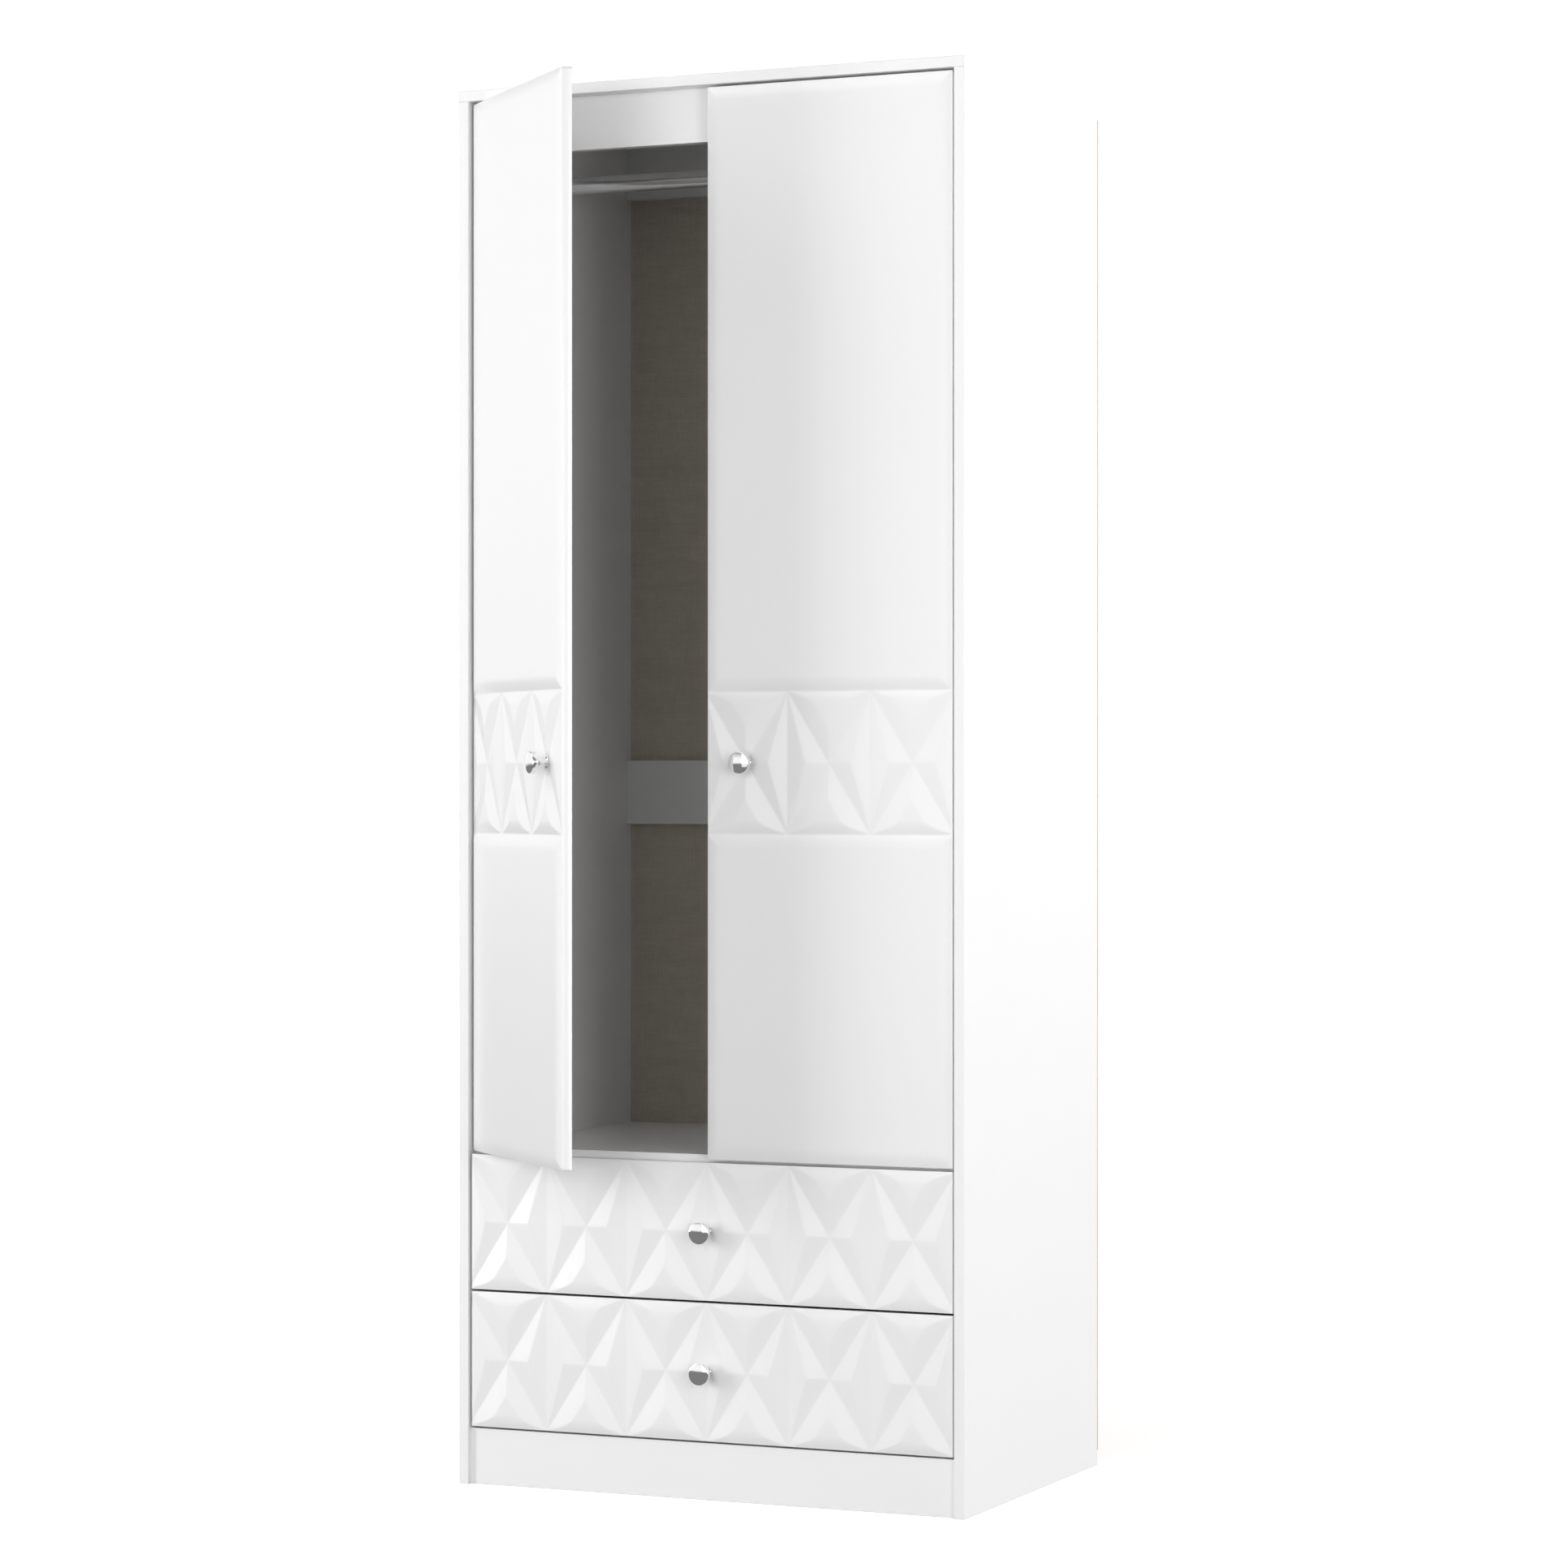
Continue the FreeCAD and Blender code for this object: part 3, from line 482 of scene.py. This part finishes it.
def milled_front(name, width, height, marks, patterned, cells, knob_at, cups, thickness, material):
    """A front board lying in its own frame: x from its centreline, z from its bottom edge, front at y = 0.

    Its relief is a height field whose mesh lines crowd together where the surface is folded. The edges
    are rounded and run back to a flat rear face with a round recess for each hinge cup.
    """
    x = samples(EDGE_ROUNDING - width / 2, width - 2 * EDGE_ROUNDING)
    z = samples(EDGE_ROUNDING, height - 2 * EDGE_ROUNDING)
    low, high = marks[patterned], marks[patterned + 1]
    band = (z >= low) & (z <= high)
    depth = relief(x, z, band, (low, high), (-width / 2, width / 2), marks, cells, knob_at)
    slope_z, slope_x = np.gradient(depth, z[1] - z[0], x[1] - x[0])

    near_mark = np.abs(np.array([z - mark for mark in marks])).min(axis=0)
    rows = mesh_lines(len(z), band | (near_mark < BEVEL_WIDTH + 2 * MM))
    columns = mesh_lines(len(x), np.ones(len(x), bool))
    grid_x, grid_z = np.meshgrid(x[columns], z[rows])
    grid_y = depth[np.ix_(rows, columns)]
    slopes = (slope_x[np.ix_(rows, columns)], slope_z[np.ix_(rows, columns)])
    vertices = np.stack([grid_x, grid_y, grid_z], axis=-1).reshape(-1, 3)
    normals = np.stack([slopes[0], -np.ones_like(grid_y), slopes[1]], axis=-1).reshape(-1, 3)
    tall, wide = grid_y.shape
    index = np.arange(tall * wide).reshape(tall, wide)
    faces = np.stack([index[:-1, :-1], index[:-1, 1:], index[1:, 1:], index[1:, :-1]], axis=-1)
    faces = faces.reshape(-1, 4).tolist()

    rim = [*index[0, :-1], *index[:-1, -1], *index[-1, :0:-1], *index[:0:-1, 0]]
    outward = rim_directions(index, rim)
    vertices = list(map(tuple, vertices))
    rear_rim = add_edge(vertices, faces, rim, outward, thickness)
    close_rear(vertices, faces, rear_rim, cups, thickness)
    piece = new_piece(name, vertices, faces, material)
    smooth(piece)
    set_normals(piece, normals)
    return piece


def add_edge(vertices, faces, rim, outward, thickness):
    """Rounds the face over at its rim and runs the edge back to the rear. Returns the rear rim."""
    front_rim = np.array([vertices[i] for i in rim])
    turns = [(math.sin(a), 1 - math.cos(a)) for a in np.radians((30, 60, 90))]
    # How far out each loop lies, and how far behind the front rim or, for the last two, behind the front
    loops = [(EDGE_ROUNDING * out, EDGE_ROUNDING * sink, True) for out, sink in turns]
    loops.append((EDGE_ROUNDING, thickness - REAR_ROUNDING, False))
    loops.append((EDGE_ROUNDING - REAR_ROUNDING, thickness, False))
    previous = rim
    for out, sink, follows_rim in loops:
        ring = []
        for place, direction in zip(front_rim, outward):
            y = sink + place[1] if follows_rim else sink
            ring.append(len(vertices))
            vertices.append((place[0] + direction[0] * out, y, place[2] + direction[1] * out))
        for here in range(len(ring)):
            after = (here + 1) % len(ring)
            faces.append([previous[here], ring[here], ring[after], previous[after]])
        previous = ring
    return previous


def close_rear(vertices, faces, rear_rim, cups, thickness):
    """The flat rear face, with a round recess for each hinge cup."""
    outline = [Vector((vertices[i][0], vertices[i][2], 0)) for i in rear_rim]
    border = list(rear_rim)
    holes = []
    for cup_x, cup_z in cups:
        hole, deep = [], []
        for segment in range(CUP_SEGMENTS):
            angle = math.tau * segment / CUP_SEGMENTS
            px = cup_x + CUP_RADIUS * math.cos(angle)
            pz = cup_z + CUP_RADIUS * math.sin(angle)
            hole.append(len(vertices))
            vertices.append((px, thickness, pz))
            deep.append(len(vertices))
            vertices.append((px, thickness - CUP_DEPTH, pz))
        for here in range(CUP_SEGMENTS):
            after = (here + 1) % CUP_SEGMENTS
            faces.append([hole[here], hole[after], deep[after], deep[here]])
        faces.append(deep)
        holes.append([Vector((vertices[i][0], vertices[i][2], 0)) for i in hole])
        border += hole
    for triangle in tessellate_polygon([outline] + holes):
        faces.append([border[i] for i in triangle])


def rim_directions(index, rim):
    """The outward direction at each point of the front's rim, with the corners on the diagonal."""
    tall, wide = index.shape
    directions = []
    for i in rim:
        row, column = divmod(int(i), wide)
        out_x = (column == wide - 1) - (column == 0)
        out_z = (row == tall - 1) - (row == 0)
        directions.append((out_x, out_z))
    return directions


def set_normals(piece, field_normals):
    """Gives the height field its exact normals, and leaves the edges and the back their own."""
    mesh = piece.data
    work = bmesh.new()
    work.from_mesh(mesh)
    bmesh.ops.recalc_face_normals(work, faces=work.faces)
    work.to_mesh(mesh)
    work.free()
    own = np.zeros(len(mesh.vertices) * 3, np.float32)
    mesh.vertices.foreach_get("normal", own)
    corners = np.zeros(len(mesh.loops), np.int32)
    mesh.loops.foreach_get("vertex_index", corners)
    custom = own.reshape(-1, 3)[corners].astype(float)
    chosen = field_normals / np.linalg.norm(field_normals, axis=1)[:, None]
    on_field = corners < len(chosen)
    custom[on_field] = chosen[corners[on_field]]
    for polygon in mesh.polygons:
        if abs(polygon.normal.y) > 0.999 and polygon.center.y > 2 * RELIEF_DEPTH:
            for loop in polygon.loop_indices:
                custom[loop] = polygon.normal
    mesh.normals_split_custom_set([tuple(n) for n in custom])


def move_mesh(piece, matrix):
    """Moves the mesh itself, and its own normals with it."""
    piece.data.transform(matrix)
    piece.data.update()


# ---------------------------------------------------------------- build


joints = {joint["name"]: joint for joint in frame["joints"]}


def door_swing(side):
    """The turn that takes a closed door to where it stands at rest."""
    joint = joints[f"door_{side}_hinge"]
    pivot = Vector(joint["pos_m"])
    opened = math.radians(-joint["range_deg"][0])
    turn = Matrix.Rotation(opened, 4, Vector(joint["axis"]))
    return Matrix.Translation(pivot) @ turn @ Matrix.Translation(-pivot)


def knob(name, seat, swing, material):
    """A turned knob: base, waisted neck, and a thick head with an almost flat face."""
    corners = [(radius * MM, distance * MM, rounding * MM) for radius, distance, rounding in KNOB_PROFILE]
    rim_radius, rim_distance, _ = corners[-1]
    dome = (rim_radius**2 + KNOB_FACE_RISE**2) / (2 * KNOB_FACE_RISE)
    start = math.asin((rim_radius - KNOB_FACE_EDGE) / dome)
    top = rim_distance + KNOB_FACE_RISE
    face = []
    for step in range(KNOB_FACE_STEPS + 1):
        angle = start * (1 - step / KNOB_FACE_STEPS)
        face.append((dome * math.sin(angle), top - dome * (1 - math.cos(angle))))
    corners.append((*face[0], 0))
    profile = [tuple(point) for point in rounded(corners)] + face[1:]
    piece = lathe(name, profile, seat, Vector((0, -1, 0)), material)
    move_mesh(piece, swing)
    return piece


def build_fronts(foil, chrome):
    low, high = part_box("door_right_panel")
    width, height = high.x - low.x, high.z - low.z
    middle = (low.x + high.x) / 2
    knob_z = (BAND_LOW + BAND_HIGH) / 2
    cup_boxes = [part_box(f"door_right_hinge_cup_{n}") for n in ("lower", "middle", "upper")]
    cup_x = cup_boxes[0][1].x - CUP_FLANGE_RADIUS - middle
    cup_heights = [(a.z + b.z) / 2 - low.z for a, b in cup_boxes]
    marks = (0, BAND_LOW, BAND_HIGH, height)
    for side, sign in (("left", -1), ("right", 1)):
        name = f"door_{side}_panel_milled"
        knob_at = (-sign * CELL_PITCH, knob_z)
        cups = [(sign * cup_x, z) for z in cup_heights]
        panel = milled_front(name, width, height, marks, 1, 3, knob_at, cups, high.y, foil)
        home = Matrix.Translation((sign * middle, 0, low.z))
        swing = door_swing(side)
        move_mesh(panel, swing @ home)
        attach(panel, f"door_{side}")
        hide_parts(f"door_{side}_panel")
        seat = home @ Vector((knob_at[0], RELIEF_DEPTH, knob_at[1]))
        handle = knob(f"door_{side}_knob_turned", seat, swing, chrome)
        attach(handle, f"door_{side}")
        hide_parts(f"door_{side}_knob")
    for level in ("upper", "lower"):
        low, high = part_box(f"drawer_{level}_front")
        width, height = high.x - low.x, high.z - low.z
        name = f"drawer_{level}_front_milled"
        knob_at = (0, height / 2)
        front = milled_front(name, width, height, (0, height), 0, 6, knob_at, [], high.y, foil)
        move_mesh(front, Matrix.Translation((0, 0, low.z)))
        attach(front, f"drawer_{level}")
        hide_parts(f"drawer_{level}_front")
        seat = Vector((0, RELIEF_DEPTH, low.z + height / 2))
        handle = knob(f"drawer_{level}_knob_turned", seat, Matrix.Identity(4), chrome)
        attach(handle, f"drawer_{level}")
        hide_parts(f"drawer_{level}_knob")


def dress(names, material, bevel=0.0):
    """Gives CAD nodes their material, and softens their arrises."""
    for name in names:
        node = frame["nodes"][name]
        node.data.materials.clear()
        node.data.materials.append(material)
        if bevel:
            edge = node.modifiers.new("arris", "BEVEL")
            edge.width = bevel
            edge.segments = 2
            edge.limit_method = "ANGLE"
            edge.angle_limit = math.radians(ARRIS_ANGLE)
            edge.harden_normals = False


def dress_frame():
    names = sorted(frame["nodes"])
    side_board = white_board("melamine_side", edging_axis="Y", edging_at=FRONT_EDGING, raw_below=CUT_EDGE)
    dress(["side_panel_left", "side_panel_right"], side_board)
    dress(["top_panel"], white_board("melamine_top", edging_axis="Y", edging_at=TOP_EDGING))
    boards = ["plinth", "front_top_rail", "divider_shelf", "base_panel"]
    dress(boards, white_board("melamine_inner", raw_below=CUT_EDGE), ARRIS)
    # The back rails are white boards given a darker tint (0.70): painted shade, standing in for the shade deep
    # inside the wardrobe.
    dress(["back_top_rail", "back_mid_rail"], white_board("rail_white_with_painted_shade", tint=0.70), ARRIS)
    inner_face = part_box("back_panel")[0].y
    dress(["back_panel"], linen_board("linen_hardboard", inner_face + 0.2 * MM))
    drawer_boards = [n for n in names if n.startswith("drawer_") and ("_side_" in n or n.endswith("_back"))]
    dress(drawer_boards, white_board("drawer_board", tint=0.86, rough=0.45), ARRIS)
    bases = [n for n in names if n.endswith("_base")]
    dress(bases, white_board("drawer_hardboard", tint=0.84, rough=0.5))
    chrome = metal("chrome_tube", (0.86, 0.86, 0.87), 0.07, 0.14, 50, (0.2, 1, 1))
    dress(["hanging_rail", "rail_socket_left", "rail_socket_right"], chrome)
    nickel = metal("nickel_hinge", (0.72, 0.71, 0.69), 0.2, 0.32, 120)
    dress([n for n in names if "hinge_" in n], nickel, 0.3 * MM)
    zinc = metal("zinc_screw", (0.78, 0.78, 0.80), 0.22, 0.36, 300)
    dress([n for n in names if n.endswith(("screws", "screw"))], zinc, 0.3 * MM)
    runners = [n for n in names if "channel" in n or "slide" in n]
    dress(runners, painted_steel("powder_coated_steel"), 0.2 * MM)
    dress([n for n in names if n.endswith("rollers")], nylon("nylon_roller"))


# ---------------------------------------------------------------- camera and light


def add_camera():
    """Level, at waist height, 23.9 degrees to the right of the front, with a long lens."""
    data = bpy.data.cameras.new("camera")
    data.sensor_width = 36
    data.lens = 101.0
    data.shift_y = 0.0023
    data.clip_end = 60
    camera = bpy.data.objects.new("camera", data)
    bpy.context.scene.collection.objects.link(camera)
    camera.location = (2.562, -5.505, 0.985)
    camera.rotation_euler = (math.radians(90), 0, math.radians(23.93))
    bpy.context.scene.camera = camera


def add_light(name, azimuth, elevation, width, height, radiance, distance, lights_matt, shows_as_sheen):
    """A soft light aimed at the middle of the wardrobe. Azimuth 0 is straight in front, 90 is to its right."""
    turn, lift = math.radians(azimuth), math.radians(elevation)
    way = Vector((math.sin(turn) * math.cos(lift), -math.cos(turn) * math.cos(lift), math.sin(lift)))
    data = bpy.data.lights.new(name, "AREA")
    data.shape = "RECTANGLE"
    data.size = width
    data.size_y = height
    data.energy = radiance * math.pi * width * height
    light = bpy.data.objects.new(name, data)
    bpy.context.scene.collection.objects.link(light)
    light.location = LIGHT_TARGET + way * distance
    light.rotation_euler = (-way).to_track_quat("-Z", "Y").to_euler()
    light.visible_camera = False
    light.visible_diffuse = lights_matt
    light.visible_glossy = shows_as_sheen


def add_sky():
    """Bright near the horizon and dim above and below, so that white boards still show their shading."""
    world = bpy.data.worlds.new("studio")
    bpy.context.scene.world = world
    world.use_nodes = True
    tree = world.node_tree
    split = tree.nodes.new("ShaderNodeSeparateXYZ")
    direction = tree.nodes.new("ShaderNodeTexCoord").outputs["Generated"]
    tree.links.new(direction, split.inputs["Vector"])
    above = remap(tree, split.outputs["Z"], SKY_BAND, SKY_TOP, *FADE_ABOVE)
    below = remap(tree, split.outputs["Z"], SKY_BELOW - SKY_BAND, 0.0, *FADE_BELOW)
    level = math_node(tree, "ADD", above, below)
    tree.links.new(grey(tree, level), tree.nodes["Background"].inputs["Color"])


def add_backdrop():
    """A round white wall behind everything, seen by the camera and lighting nothing."""
    points = []
    for level in (BACKDROP_FOOT, BACKDROP_HEIGHT):
        for side in range(BACKDROP_SIDES):
            turn = math.tau * side / BACKDROP_SIDES
            points.append((BACKDROP_RADIUS * math.cos(turn), BACKDROP_RADIUS * math.sin(turn), level))
    faces = []
    for side in range(BACKDROP_SIDES):
        after = (side + 1) % BACKDROP_SIDES
        faces.append([side, after, BACKDROP_SIDES + after, BACKDROP_SIDES + side])
    wall = new_piece("studio_backdrop", points, faces, backdrop_material())
    wall.visible_diffuse = False
    wall.visible_glossy = False
    wall.visible_transmission = False
    wall.visible_shadow = False


def add_floor():
    """The floor is seen but throws no light back: the sky's lower half does that in its place."""
    reach = FLOOR_REACH
    corners = [(-reach, -reach, 0), (reach, -reach, 0), (reach, reach, 0), (-reach, reach, 0)]
    floor = new_piece("studio_floor", corners, [[0, 1, 2, 3]], floor_material())
    floor.visible_diffuse = False
    floor.visible_glossy = False


def add_studio():
    bpy.context.scene.view_settings.view_transform = "Standard"
    add_sky()
    add_backdrop()
    add_floor()
    for light in LIGHTS:
        add_light(*light)


add_camera()
add_studio()
foil_material = white_foil("white_foil_front")
knob_chrome = metal("chrome_knob", (0.90, 0.90, 0.91), 0.03, 0.08, 60)
build_fronts(foil_material, knob_chrome)
dress_frame()
